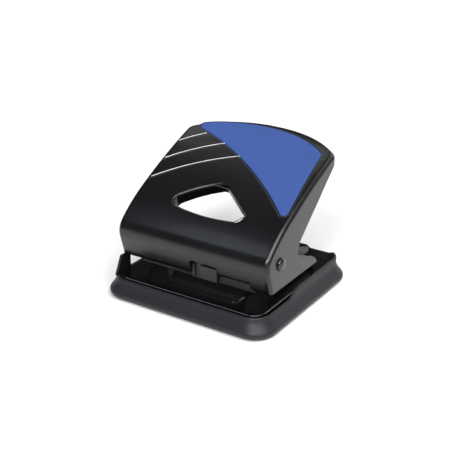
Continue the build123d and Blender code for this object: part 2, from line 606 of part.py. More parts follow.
# ---- punches --------------------------------------------------------------------------------
SPRING_WIRE = 0.4
SPRING_TURNS = 3.4
HEAD_UNDER = HEAD_TOP - HEAD_T
SPRING_RISE = HEAD_UNDER - SEAT_Z - 2 * SPRING_WIRE - 0.2
for side, name in SIDES:
    with BuildPart() as punch_pin:
        with BuildSketch(Plane.XY.offset(TIP_Z)):
            with Locations((side * PIN_X, PIN_Y)):
                Circle(PIN_R)
        extrude(amount=HEAD_UNDER - TIP_Z)
        # hollow-ground tip, so that the rim of the punch cuts first
        with BuildSketch(Plane.XZ.offset(-PIN_Y)):
            with Locations((side * PIN_X, TIP_Z - 0.4)):
                Rectangle(1.6, 2.4, rotation=45)
        extrude(amount=PIN_R + 1, both=True, mode=Mode.SUBTRACT)
    punch_pin.part.label = f"punch_pin_{name}"
    export_step(punch_pin.part, f"parts/punch_pin_{name}.step")
    with BuildPart() as punch_head:
        with BuildSketch(Plane.XY.offset(HEAD_UNDER)):
            with Locations((side * PIN_X, PIN_Y)):
                Circle(HEAD_R)
        extrude(amount=HEAD_T)
        fillet(punch_head.edges().group_by(Axis.Z)[-1], radius=0.5)
    punch_head.part.label = f"punch_head_{name}"
    export_step(punch_head.part, f"parts/punch_head_{name}.step")
    # conical spring, so that it closes flat under the head
    with BuildPart() as spring:
        with BuildLine():
            coil = Helix(pitch=SPRING_RISE / SPRING_TURNS, height=SPRING_RISE, radius=HEAD_R - 0.6,
                         center=(side * PIN_X, PIN_Y, SEAT_Z + SPRING_WIRE + 0.1), cone_angle=-14)
        with BuildSketch(Plane(origin=coil @ 0, z_dir=coil % 0)):
            Circle(SPRING_WIRE)
        sweep()
    spring.part.label = f"spring_{name}"
    export_step(spring.part, f"parts/spring_{name}.step")

# ---- lock-down latch ------------------------------------------------------------------------
with BuildPart() as latch_slide:
    # face plate, thumb pad, and a hook over the track
    with BuildSketch(Plane.XZ.offset(-TRACK_FRONT + 0.3)):
        with Locations(((LATCH_LEFT + LATCH_RIGHT) / 2, 30.0)):
            RectangleRounded(LATCH_RIGHT - LATCH_LEFT, 11.4, 1.6)
    extrude(amount=-LATCH_FRONT + TRACK_FRONT - 1.8)
    with BuildSketch(Plane.XZ.offset(-TRACK_FRONT + 0.3)):
        with Locations(((LATCH_RIGHT + 5.0) / 2, 30.0)):
            Rectangle(LATCH_RIGHT - 5.0, 9.4)
        with Locations((LATCH_LEFT + 0.8, 30.0)):
            Rectangle(1.6, 9.4)
    extrude(amount=-LATCH_FRONT + TRACK_FRONT - 0.3)
    with BuildSketch(Plane.YZ.offset(LATCH_HOOK_LEFT)):
        with BuildLine():
            front, near, far = TRACK_FRONT - 0.4, TRACK_BACK + 0.3, TRACK_BACK + 1.8
            low, high = TRACK_HIGH + 0.3, TRACK_HIGH + 1.8
            Polyline((front, low), (near, low), (near, TRACK_HIGH - 2.5), (far, TRACK_HIGH - 2.5),
                     (far, high), (front, high), close=True)
        make_face()
    extrude(amount=TRACK_REACH - 0.4 - LATCH_TRAVEL - LATCH_HOOK_LEFT)
latch_slide.part.label = "latch_slide"
export_step(latch_slide.part, "parts/latch_slide.step")

# ---- paper guide ----------------------------------------------------------------------------
with BuildPart() as guide_bar:
    with BuildSketch(Plane.XY.offset(GUIDE_Z)):
        with Locations(((STOP_OUT + STOP_T + GUIDE_END) / 2, (GUIDE_FRONT + GUIDE_BACK) / 2)):
            Rectangle(GUIDE_END - STOP_OUT - STOP_T, GUIDE_BACK - GUIDE_FRONT)
    extrude(amount=GUIDE_T)
guide_bar.part.label = "guide_bar"
export_step(guide_bar.part, "parts/guide_bar.step")

with BuildPart() as guide_stop:
    with BuildSketch(Plane.YZ.offset(STOP_OUT)) as outline:
        with BuildLine():
            Polyline((STOP_FRONT, GUIDE_Z), (STOP_BACK, GUIDE_Z), (STOP_BACK, STOP_TOP),
                     (STOP_FRONT + 7, STOP_TOP), close=True)
        make_face()
        fillet(outline.vertices().group_by(Axis.Y)[0], radius=1.5)
    extrude(amount=STOP_T)
guide_stop.part.label = "guide_stop"
export_step(guide_stop.part, "parts/guide_stop.step")
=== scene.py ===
"""Studio scene of a two-hole desk punch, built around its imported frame.

Every size is in millimetres in the dataclasses and becomes metres where a mesh is made.
"""
import json
import logging
import math
from dataclasses import dataclass
from enum import Enum
from typing import Callable, Iterable, Optional, Sequence, Union

import bmesh
import bpy
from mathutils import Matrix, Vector

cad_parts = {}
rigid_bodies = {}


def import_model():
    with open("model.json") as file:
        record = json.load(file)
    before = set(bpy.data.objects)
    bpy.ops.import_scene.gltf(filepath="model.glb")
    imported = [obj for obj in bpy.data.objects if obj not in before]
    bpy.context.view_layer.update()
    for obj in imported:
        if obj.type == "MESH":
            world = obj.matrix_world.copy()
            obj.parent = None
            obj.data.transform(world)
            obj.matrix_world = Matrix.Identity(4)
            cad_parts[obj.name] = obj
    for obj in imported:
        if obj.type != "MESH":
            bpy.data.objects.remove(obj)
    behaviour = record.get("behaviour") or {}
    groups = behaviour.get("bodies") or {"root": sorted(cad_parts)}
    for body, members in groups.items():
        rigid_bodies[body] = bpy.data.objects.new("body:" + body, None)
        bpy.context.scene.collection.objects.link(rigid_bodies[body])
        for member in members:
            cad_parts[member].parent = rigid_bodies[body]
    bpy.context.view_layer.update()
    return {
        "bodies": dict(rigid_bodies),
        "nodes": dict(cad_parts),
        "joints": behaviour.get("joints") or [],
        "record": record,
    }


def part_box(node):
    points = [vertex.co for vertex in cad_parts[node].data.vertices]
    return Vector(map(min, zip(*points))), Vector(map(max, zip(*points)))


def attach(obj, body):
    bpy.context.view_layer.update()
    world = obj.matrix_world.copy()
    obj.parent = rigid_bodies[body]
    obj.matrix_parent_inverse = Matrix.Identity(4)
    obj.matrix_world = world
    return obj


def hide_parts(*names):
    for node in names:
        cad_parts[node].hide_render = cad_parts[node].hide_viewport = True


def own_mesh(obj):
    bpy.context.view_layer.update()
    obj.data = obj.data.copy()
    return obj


MM = 0.001
MERGE_GAP = 2e-6          # corners of a frame node's loose triangles nearer than this are one
BEAD_STEP = 0.8           # a bead's length of straight, in millimetres
BEAD_SIDES = 10
log = logging.getLogger("punch")
Point = tuple[float, float, float]
Pair = tuple[float, float]
Shape = tuple[list[Point], list[list[int]]]


# ---- shader helpers -------------------------------------------------------------------------
class Wire:
    """A shader socket on which Python sums add Math nodes."""

    def __init__(self, board: "Board", socket: bpy.types.NodeSocket) -> None:
        """Keep the socket and the board it belongs to."""
        self.board = board
        self.socket = socket

    def _sum(self, operation: str, first: "Term", second: "Term") -> "Wire":
        """Add one Math node.

        Args:
            operation: the Math node's operation.
            first: its first value.
            second: its second value.

        Returns:
            The node's result.
        """
        return self.board.add("ShaderNodeMath", {"operation": operation}, {0: first, 1: second})

    def __add__(self, other: "Term") -> "Wire":
        """Sum."""
        return self._sum("ADD", self, other)

    def __sub__(self, other: "Term") -> "Wire":
        """Difference."""
        return self._sum("SUBTRACT", self, other)

    def __rsub__(self, other: "Term") -> "Wire":
        """Difference from a number."""
        return self._sum("SUBTRACT", other, self)

    def __mul__(self, other: "Term") -> "Wire":
        """Product."""
        return self._sum("MULTIPLY", self, other)

    __radd__ = __add__
    __rmul__ = __mul__


Term = Union[Wire, float]


class Board:
    """The node tree of one material."""

    def __init__(self, name: str) -> None:
        """Start a material with an empty tree.

        Args:
            name: the material's name.
        """
        self.material = bpy.data.materials.new(name)
        self.material.use_nodes = True
        self.tree = self.material.node_tree
        self.tree.nodes.clear()

    def add(self, kind: str, settings: dict, inputs: dict, output: Union[str, int] = 0) -> Wire:
        """Add a node.

        Args:
            kind: the node's type.
            settings: attributes, which are set first.
            inputs: values or wires by socket name or number.
            output: the socket to return.

        Returns:
            The chosen output.
        """
        node = self.tree.nodes.new(kind)
        for key, value in settings.items():
            setattr(node, key, value)
        for key, value in inputs.items():
            if isinstance(value, Wire):
                self.tree.links.new(value.socket, node.inputs[key])
            else:
                node.inputs[key].default_value = value
        return Wire(self, node.outputs[output]) if node.outputs else Wire(self, node.inputs[0])

    def mix(self, factor: Term, first: Sequence[float], second: Sequence[float]) -> Wire:
        """Blend two plain colours by a factor."""
        sockets = {0: factor, 6: (*first, 1), 7: (*second, 1)}
        return self.add("ShaderNodeMix", {"data_type": "RGBA"}, sockets, 2)


class Grain(Enum):
    """How a surface's fine relief runs."""

    EVEN = (1.0, 1.0, 1.0)
    ALONG_X = (0.04, 1.0, 1.0)
    UPRIGHT = (1.0, 0.05, 0.05)
    ALONG_Z = (1.0, 1.0, 0.05)


@dataclass(frozen=True)
class Finish:
    """A surface finish: colour, gloss, and its variation and relief."""

    name: str
    colour: tuple[float, float, float]
    roughness: float
    metallic: float = 0.0
    coat: float = 0.0
    coat_roughness: float = 0.08
    specular: float = 0.5
    tone_spread: float = 0.12
    tone_scale: float = 45.0
    smudge_spread: float = 0.08
    smudge_scale: float = 30.0
    grain: Grain = Grain.EVEN
    grain_scale: float = 1800.0
    grain_height: float = 0.00002
    grain_strength: float = 0.25
    pebble_scale: float = 0.0

    def material(self) -> bpy.types.Material:
        """Make the material once and keep it.

        Returns:
            The material of that name.
        """
        if self.name in bpy.data.materials:
            return bpy.data.materials[self.name]
        board = Board(self.name)
        place = board.add("ShaderNodeTexCoord", {}, {}, "Object")
        stretched = board.add("ShaderNodeMapping", {}, {"Vector": place, "Scale": self.grain.value})
        tone = board.add("ShaderNodeTexNoise", {}, {"Vector": place, "Scale": self.tone_scale, "Detail": 4.0})
        smudge = board.add("ShaderNodeTexNoise", {},
                           {"Vector": stretched, "Scale": self.smudge_scale, "Detail": 6.0})
        fine = board.add("ShaderNodeTexNoise", {},
                         {"Vector": stretched, "Scale": self.grain_scale, "Detail": 3.0})
        dark = [c * (1 - self.tone_spread) for c in self.colour]
        light = [min(1.0, c * (1 + self.tone_spread)) for c in self.colour]
        relief = fine
        if self.pebble_scale:
            pebble = board.add("ShaderNodeTexVoronoi", {"feature": "SMOOTH_F1"},
                               {"Vector": place, "Scale": self.pebble_scale, "Smoothness": 0.6})
            relief = pebble * 0.8 + fine * 0.3
        bump = board.add("ShaderNodeBump", {}, {"Strength": self.grain_strength,
                                                "Distance": self.grain_height, "Height": relief})
        rough = smudge * self.smudge_spread + (self.roughness - self.smudge_spread / 2)
        shader = board.add("ShaderNodeBsdfPrincipled", {}, {
            "Base Color": board.mix(tone, dark, light), "Roughness": rough, "Metallic": self.metallic,
            "Coat Weight": self.coat, "Coat Roughness": self.coat_roughness,
            "Specular IOR Level": self.specular, "Normal": bump})
        board.add("ShaderNodeOutputMaterial", {}, {"Surface": shader})
        return board.material


GLOSS_BLACK = Finish("gloss_black_paint", (0.0022, 0.0023, 0.003), 0.33, coat=0.22, coat_roughness=0.16,
                     smudge_spread=0.12, smudge_scale=90.0, grain=Grain.UPRIGHT, grain_scale=700.0,
                     grain_height=0.00003, grain_strength=0.05)
PLATE_BLACK = Finish("plate_black_paint", (0.0015, 0.0015, 0.002), 0.24, coat=0.1, specular=0.35,
                     grain_scale=900.0, grain_strength=0.05)
COVER_BLACK = Finish("cover_black_paint", (0.003, 0.003, 0.0042), 0.36, coat=0.2, coat_roughness=0.25,
                     grain_scale=900.0, grain_strength=0.05)
SATIN_BLACK = Finish("satin_black_paint", (0.005, 0.005, 0.006), 0.42, grain_strength=0.12)
# Painted highlight: bright paint on the upper groove beads, standing in for light caught by the groove edges.
PAINTED_HIGHLIGHT_BRIGHT = Finish("bright_rubbed_edge", (0.78, 0.79, 0.82), 0.5, metallic=0.6, tone_spread=0.2,
                     tone_scale=160.0)
# Painted highlight: dim grey paint on the lower groove beads and the grip's border bead, standing in for
# faint light on those edges.
PAINTED_HIGHLIGHT_DIM = Finish("dim_rubbed_edge", (0.05, 0.052, 0.06), 0.35, metallic=0.3, tone_spread=0.3,
                  tone_scale=160.0)
# Painted highlight: lighter paint on the finger hole's lip bead, standing in for light on the lip.
PAINTED_HIGHLIGHT_LIP = Finish("lip_rubbed_edge", (0.12, 0.122, 0.13), 0.3, metallic=0.6, tone_spread=0.35,
                  tone_scale=90.0)
# Painted highlight: lighter paint on the plate's edge bead, standing in for light caught by the plate's front
# edge.
PAINTED_HIGHLIGHT_SOFT = Finish("soft_rubbed_edge", (0.16, 0.165, 0.18), 0.3, metallic=0.5, tone_spread=0.35,
                   tone_scale=120.0)
SOFT_BLUE = Finish("soft_blue_grip", (0.042, 0.085, 0.285), 0.62, specular=0.25, tone_spread=0.05,
                   grain_scale=2600.0, grain_strength=0.18, pebble_scale=2400.0)
CHARCOAL = Finish("charcoal_moulding", (0.0105, 0.0112, 0.014), 0.5, tone_spread=0.1, specular=0.4,
                  grain_scale=2200.0, grain_strength=0.22, pebble_scale=1500.0)
RUBBER = Finish("black_rubber", (0.02, 0.02, 0.02), 0.85, specular=0.2, pebble_scale=900.0)
BRIGHT_STEEL = Finish("bright_steel", (0.62, 0.63, 0.65), 0.26, metallic=1.0, grain=Grain.ALONG_Z,
                      smudge_spread=0.14, grain_scale=1600.0, grain_strength=0.1)
TURNED_STEEL = Finish("turned_steel", (0.55, 0.56, 0.58), 0.3, metallic=1.0, grain=Grain.ALONG_X,
                      smudge_spread=0.14, grain_scale=1600.0, grain_strength=0.1)
ZINC = Finish("zinc_plate", (0.5, 0.5, 0.47), 0.36, metallic=1.0, tone_spread=0.18, smudge_spread=0.16)
SPRING_STEEL = Finish("spring_steel", (0.42, 0.43, 0.45), 0.3, metallic=1.0, grain_strength=0.08)
RIVET_BLACK = Finish("rivet_black", (0.008, 0.008, 0.009), 0.22, coat=0.4)
LATCH_GREY = Finish("latch_moulding", (0.01, 0.0103, 0.0115), 0.36, pebble_scale=1800.0,
                    grain_strength=0.15)
GUIDE_BLACK = Finish("guide_moulding", (0.004, 0.004, 0.005), 0.38, pebble_scale=1800.0,
                     grain_strength=0.15)
PRINT_WHITE = Finish("scale_print", (0.75, 0.75, 0.73), 0.6, grain_strength=0.05)


# ---- mesh helpers ---------------------------------------------------------------------------
def dress(node: str, frame: dict, finish: Finish) -> None:
    """Give a frame node a finish.

    Args:
        node: the node's name.
        frame: the loaded frame.
        finish: the finish for all its slots.
    """
    body = frame["nodes"][node]
    if not body.material_slots:
        body.data.materials.append(None)
    for held in body.material_slots:
        held.material = finish.material()
    log.info("dressed %s in %s", node, finish.name)


def piece_from_mesh(name: str, mesh: bpy.types.Mesh, finish: Finish) -> bpy.types.Object:
    """Link a mesh to the scene as a finished piece.

    Args:
        name: the piece's name.
        mesh: its mesh, in place.
        finish: its finish.

    Returns:
        The new object.
    """
    mesh.materials.clear()
    mesh.materials.append(finish.material())
    piece = bpy.data.objects.new(name, mesh)
    bpy.context.scene.collection.objects.link(piece)
    return piece


def mesh_from_faces(name: str, points: Sequence[Point], faces: Sequence[Sequence[int]],
                    sharp_deg: float = 35.0) -> bpy.types.Mesh:
    """Make a mesh in metres from points in millimetres, smooth except at sharp edges.

    Args:
        name: the mesh's name.
        points: corners, in millimetres.
        faces: corner numbers of each face.
        sharp_deg: edges that turn by more than this stay sharp.

    Returns:
        The mesh, with its faces turned outwards.
    """
    mesh = bpy.data.meshes.new(name)
    mesh.from_pydata([tuple(c * MM for c in p) for p in points], [], faces)
    tidy = bmesh.new()
    tidy.from_mesh(mesh)
    bmesh.ops.remove_doubles(tidy, verts=tidy.verts, dist=1e-6)
    bmesh.ops.recalc_face_normals(tidy, faces=tidy.faces)
    tidy.to_mesh(mesh)
    tidy.free()
    soften(mesh, sharp_deg)
    return mesh


def soften(mesh: bpy.types.Mesh, sharp_deg: float) -> None:
    """Shade a mesh smooth, with edges over the given angle sharp.

    Args:
        mesh: the mesh.
        sharp_deg: the angle, in degrees.
    """
    mesh.shade_smooth()
    mesh.set_sharp_from_angle(angle=math.radians(sharp_deg))


def prism(outline: Sequence[Pair], left: float, right: float) -> Shape:
    """Extrude an outline in the YZ plane along X.

    Args:
        outline: (y, z) corners in order.
        left: X of one end.
        right: X of the other end.

    Returns:
        The points and faces.
    """
    count = len(outline)
    points = [(x, y, z) for x in (left, right) for y, z in outline]
    sides = [[i, (i + 1) % count, count + (i + 1) % count, count + i] for i in range(count)]
    return points, sides + [list(range(count)), list(range(2 * count - 1, count - 1, -1))]


def band_faces(rings: int, count: int) -> list[list[int]]:
    """List the four-sided faces between stacked rings of points.

    Args:
        rings: how many rings there are.
        count: how many points each has.

    Returns:
        The faces, ring by ring.
    """
    faces = []
    for near in range(0, (rings - 1) * count, count):
        for i in range(count):
            after = (i + 1) % count
            faces.append([near + i, near + after, near + count + after, near + count + i])
    return faces


def join(parts: Iterable[Shape]) -> Shape:
    """Put several shapes into one.

    Args:
        parts: the shapes.

    Returns:
        Their points and faces together.
    """
    points: list[Point] = []
    faces: list[list[int]] = []
    for more_points, more_faces in parts:
        start = len(points)
        points += more_points
        faces += [[start + i for i in face] for face in more_faces]
    return points, faces


def revolve(profile: Sequence[Pair], steps: int) -> Shape:
    """Turn a (radius, height) profile round the Z axis.

    Args:
        profile: from the foot's centre to the top's centre, with radius 0 at both ends.
        steps: how many sides the round has.

    Returns:
        The points and faces.
    """
    points = [(r * math.cos(2 * math.pi * s / steps), r * math.sin(2 * math.pi * s / steps), z)
              for r, z in profile for s in range(steps)]
    return points, band_faces(len(profile), steps)


def stack(rings: Sequence[Sequence[Point]]) -> Shape:
    """Skin a stack of rings and close its first and last.

    Args:
        rings: rings of the same number of places each, in order.

    Returns:
        The points and faces.
    """
    count = len(rings[0])
    last = (len(rings) - 1) * count
    caps = [list(range(count)), list(range(last, last + count))]
    return [place for ring in rings for place in ring], band_faces(len(rings), count) + caps


def bevelled_copy(node: str, name: str, frame: dict, finish: Finish, width: float,
                  segments: int = 3) -> bpy.types.Object:
    """Copy a frame node's mesh, merge it and round its edges.

    Args:
        node: the frame node it stands for.
        name: the new piece's name.
        frame: the loaded frame.
        finish: its finish.
        width: width of the rounding, in millimetres.
        segments: how many steps the rounding has.

    Returns:
        The new piece, with its rounding applied.
    """
    source = frame["nodes"][node].data.copy()
    tidy = bmesh.new()
    tidy.from_mesh(source)
    bmesh.ops.remove_doubles(tidy, verts=tidy.verts, dist=MERGE_GAP)
    bmesh.ops.dissolve_limit(tidy, angle_limit=math.radians(1.0), verts=tidy.verts, edges=tidy.edges)
    tidy.to_mesh(source)
    tidy.free()
    piece = piece_from_mesh(name, source, finish)
    bevel = piece.modifiers.new("rounding", "BEVEL")
    bevel.width = width * MM
    bevel.segments = segments
    bevel.limit_method = "ANGLE"
    bevel.angle_limit = math.radians(40)
    bevel.harden_normals = True
    soften(piece.data, 40)
    level = piece.modifiers.new("flat faces stay flat", "WEIGHTED_NORMAL")
    level.weight = 100
    level.keep_sharp = True
    bake_modifiers(piece)
    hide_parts(node)
    return piece


def bake_modifiers(piece: bpy.types.Object) -> None:
    """Turn a piece's modifiers into plain mesh.

    Args:
        piece: the piece, which keeps no modifier.
    """
    seen = piece.evaluated_get(bpy.context.evaluated_depsgraph_get())
    plain = bpy.data.meshes.new_from_object(seen)
    piece.modifiers.clear()
    piece.data = plain


# ---- geometry node helpers ------------------------------------------------------------------
class Recipe:
    """A geometry node tree with named sizes, grown on a host mesh."""

    def __init__(self, name: str, sizes: dict[str, float]) -> None:
        """Start a tree with a geometry input and one number input per size.

        Args:
            name: the tree's name.
            sizes: each size's name and first value.
        """
        self.tree = bpy.data.node_groups.new(name, "GeometryNodeTree")
        self.tree.interface.new_socket("Geometry", in_out="INPUT", socket_type="NodeSocketGeometry")
        self.keys = {}
        for label, value in sizes.items():
            item = self.tree.interface.new_socket(label, in_out="INPUT", socket_type="NodeSocketFloat")
            item.default_value = value
            self.keys[label] = item.identifier
        self.tree.interface.new_socket("Geometry", in_out="OUTPUT", socket_type="NodeSocketGeometry")
        self.entry = self.tree.nodes.new("NodeGroupInput")
        self.exit = self.tree.nodes.new("NodeGroupOutput")

    def size(self, label: str) -> bpy.types.NodeSocket:
        """Return the input socket of a named size."""
        return self.entry.outputs[label]

    def add(self, kind: str, settings: dict, inputs: dict,
            output: Union[str, int] = 0) -> bpy.types.NodeSocket:
        """Add a node.

        Args:
            kind: the node's type.
            settings: attributes set first.
            inputs: values or sockets by name or number.
            output: the socket to return.

        Returns:
            The chosen output.
        """
        node = self.tree.nodes.new(kind)
        for key, value in settings.items():
            setattr(node, key, value)
        for key, value in inputs.items():
            if isinstance(value, bpy.types.NodeSocket):
                self.tree.links.new(value, node.inputs[key])
            else:
                node.inputs[key].default_value = value
        return node.outputs[output]

    def grow(self, name: str, geometry: bpy.types.NodeSocket, host: bpy.types.Mesh, finish: Finish,
             sizes: dict[str, float]) -> bpy.types.Object:
        """Finish the tree and turn its result into a plain piece.

        Args:
            name: the piece's name.
            geometry: the tree's result.
            host: the mesh that the tree starts from.
            finish: the piece's finish.
            sizes: the values of the named sizes.

        Returns:
            The new piece.
        """
        smooth = self.add("GeometryNodeSetShadeSmooth", {}, {"Geometry": geometry})
        solid = self.add("GeometryNodeRealizeInstances", {}, {"Geometry": smooth})
        done = self.add("GeometryNodeSetMaterial", {}, {"Geometry": solid, "Material": finish.material()})
        self.tree.links.new(done, self.exit.inputs[0])
        piece = bpy.data.objects.new(name, host)
        bpy.context.scene.collection.objects.link(piece)
        grown = piece.modifiers.new("recipe", "NODES")
        grown.node_group = self.tree
        for label, value in sizes.items():
            grown[self.keys[label]] = value
        bake_modifiers(piece)
        soften(piece.data, 40)
        return piece


def points_mesh(name: str, points: Sequence[Point], closed: Optional[bool] = None) -> bpy.types.Mesh:
    """Make a mesh of loose points, or of a line through them.

    Args:
        name: the mesh's name.
        points: places in millimetres.
        closed: None for loose points, else whether the line closes on itself.

    Returns:
        The mesh.
    """
    edges = [] if closed is None else [(i, i + 1) for i in range(len(points) - 1)]
    if closed:
        edges.append((len(points) - 1, 0))
    mesh = bpy.data.meshes.new(name)
    mesh.from_pydata([tuple(c * MM for c in p) for p in points], edges, [])
    return mesh


def bead(name: str, line: bpy.types.Mesh, radius: float, finish: Finish) -> bpy.types.Object:
    """Run a round bead along a line.

    Args:
        name: the piece's name.
        line: a mesh of edges.
        radius: the bead's radius in millimetres.
        finish: its finish.

    Returns:
        The piece.
    """
    sizes = {"Bead radius": radius * MM, "Step": BEAD_STEP * MM}
    recipe = Recipe(name + "_recipe", sizes)
    curve = recipe.add("GeometryNodeMeshToCurve", {}, {"Mesh": recipe.entry.outputs[0]})
    even = recipe.add("GeometryNodeResampleCurve", {"mode": "LENGTH"},
                      {"Curve": curve, "Length": recipe.size("Step")})
    ring = recipe.add("GeometryNodeCurvePrimitiveCircle", {},
                      {"Resolution": BEAD_SIDES, "Radius": recipe.size("Bead radius")})
    tube = recipe.add("GeometryNodeCurveToMesh", {},
                      {"Curve": even, "Profile Curve": ring, "Fill Caps": True})
    return recipe.grow(name, tube, line, finish, sizes)


def scatter(name: str, places: Sequence[Point], shape: bpy.types.Mesh, finish: Finish) -> bpy.types.Object:
    """Set one shape at each of several places.

    Args:
        name: the piece's name.
        places: where the shape's origin goes, in millimetres.
        shape: the mesh that is repeated.
        finish: its finish.

    Returns:
        One piece that holds all the copies.
    """
    pattern = bpy.data.objects.new(name + "_pattern", shape)
    bpy.context.scene.collection.objects.link(pattern)
    recipe = Recipe(name + "_recipe", {"Size": 1.0})
    copy = recipe.add("GeometryNodeObjectInfo", {}, {"Object": pattern}, "Geometry")
    spots = recipe.add("GeometryNodeMeshToPoints", {}, {"Mesh": recipe.entry.outputs[0]})
    placed = recipe.add("GeometryNodeInstanceOnPoints", {},
                        {"Points": spots, "Instance": copy, "Scale": recipe.size("Size")})
    piece = recipe.grow(name, placed, points_mesh(name, places), finish, {"Size": 1.0})
    bpy.data.objects.remove(pattern)
    return piece


# ---- lines ----------------------------------------------------------------------------------
def smooth_step(value: float, low: float, high: float) -> float:
    """Rise softly from 0 at low to 1 at high."""
    share = min(1.0, max(0.0, (value - low) / (high - low)))
    return share * share * (3 - 2 * share)


def rounded_rectangle(half_x: float, half_y: float, corner: float, corner_steps: int,
                      side_steps: int) -> list[Pair]:
    """Walk round a rounded rectangle, with the same number of steps whatever its size.

    Args:
        half_x: half its width.
        half_y: half its depth.
        corner: its corner radius.
        corner_steps: steps on each corner.
        side_steps: steps on each straight side.

    Returns:
        Places in order, counter-clockwise from the right side's middle.
    """
    places: list[Pair] = []
    turns = ((1, 1), (-1, 1), (-1, -1), (1, -1))
    for quarter, (sx, sy) in enumerate(turns):
        centre = (sx * (half_x - corner), sy * (half_y - corner))
        for step in range(corner_steps):
            angle = math.pi / 2 * (quarter + step / (corner_steps - 1))
            places.append((centre[0] + corner * math.cos(angle), centre[1] + corner * math.sin(angle)))
        nx, ny = turns[(quarter + 1) % 4]
        end = math.pi / 2 * (quarter + 1)
        after = (nx * (half_x - corner) + corner * math.cos(end),
                 ny * (half_y - corner) + corner * math.sin(end))
        start = places[-1]
        for step in range(1, side_steps):
            share = step / side_steps
            places.append(tuple(a + (b - a) * share for a, b in zip(start, after)))
    return places


def smooth_line(knots: Sequence[Pair], steps: int) -> list[Pair]:
    """Run a Catmull-Rom line through points.

    Args:
        knots: the points.
        steps: steps between neighbours.

    Returns:
        The points of the line.
    """
    line: list[Pair] = []
    for i in range(len(knots) - 1):
        a, b, c, d = knots[max(i - 1, 0)], knots[i], knots[i + 1], knots[min(i + 2, len(knots) - 1)]
        for step in range(steps):
            t = step / steps
            line.append(tuple(
                0.5 * (2 * b[k] + (c[k] - a[k]) * t + (2 * a[k] - 5 * b[k] + 4 * c[k] - d[k]) * t * t
                       + (3 * b[k] - a[k] - 3 * c[k] + d[k]) * t ** 3) for k in (0, 1)))
    line.append(knots[-1])
    return line


